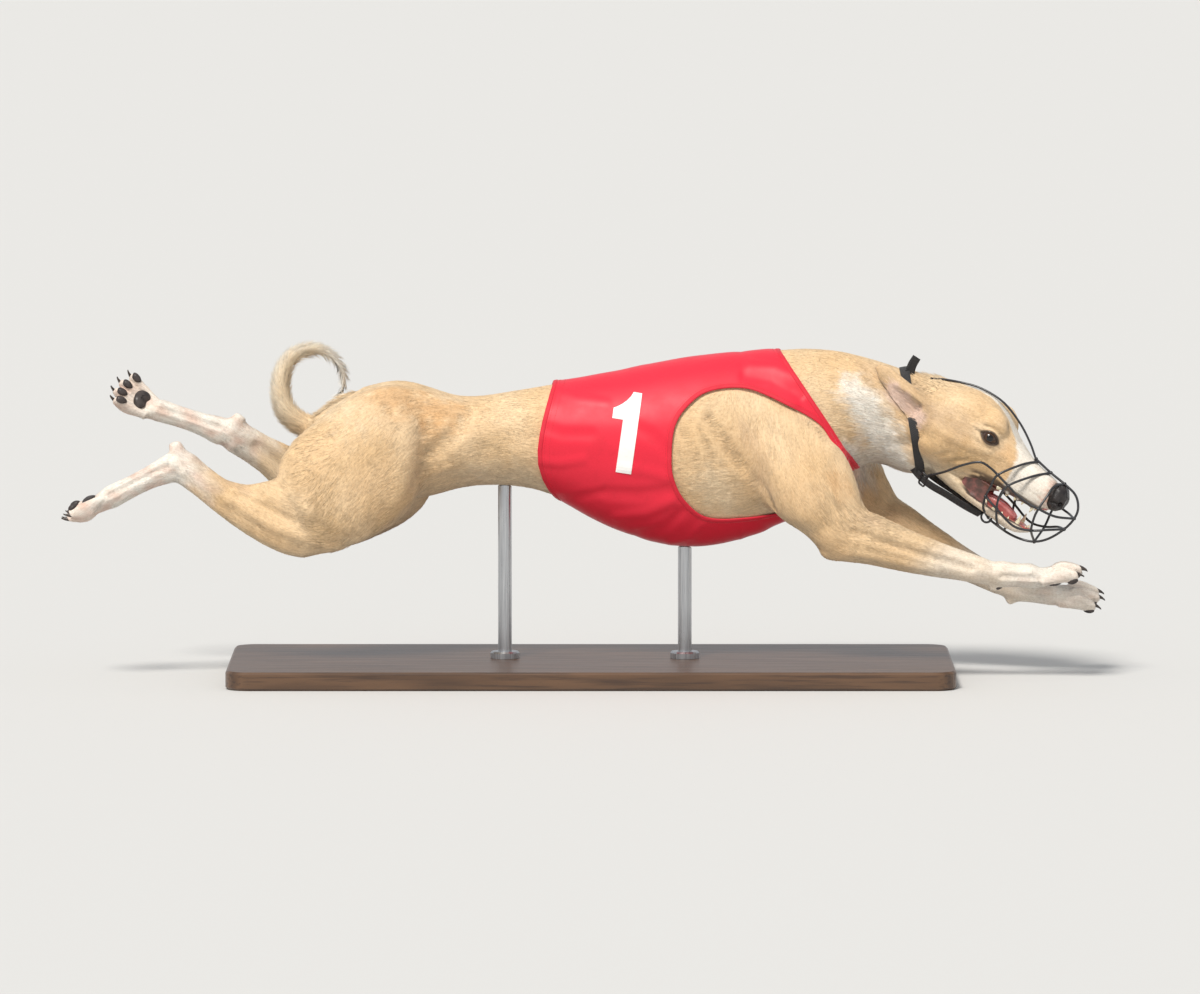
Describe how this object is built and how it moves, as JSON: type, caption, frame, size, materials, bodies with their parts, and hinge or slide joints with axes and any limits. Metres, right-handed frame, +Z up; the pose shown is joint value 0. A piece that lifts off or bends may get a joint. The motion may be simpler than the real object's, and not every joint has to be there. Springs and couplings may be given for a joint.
{
  "type": "greyhound",
  "caption": "Life-size racing greyhound at full stretch, in a vest and wire muzzle basket, held over a flat display base by rods.",
  "frame": {"origin": "middle of the display base's underside", "axes": "+X towards the dog's head, +Y to the dog's left, +Z up"},
  "size_m": [1.3633, 0.36, 0.4361],
  "materials": {
    "coat": "short smooth fawn coat with white markings",
    "tongue": "wet pink",
    "nose": "dark, damp and finely grained",
    "eye": "dark brown, wet",
    "vest": "red stretch fabric",
    "number": "matt white print",
    "webbing": "black woven webbing",
    "wire": "gloss black coated wire",
    "base": "dark satin lacquer",
    "rod": "satin"
  },
  "bodies": {
    "root": {"torso": "coat", "neck": "coat", "head": "coat", "lower_jaw": "coat", "tongue": "tongue", "nose": "nose", "ear_right": "coat", "ear_left": "coat", "eye_right": "eye", "eye_left": "eye", "foreleg_right": "coat", "foreleg_left": "coat", "hindleg_right": "coat", "hindleg_left": "coat", "tail": "coat", "racing_vest": "vest", "number_right": "number", "number_left": "number", "muzzle_strap": "webbing", "muzzle_basket": "wire", "stand_base": "base", "stand_rod_front": "rod", "stand_rod_rear": "rod"}
  },
  "joints": []
}
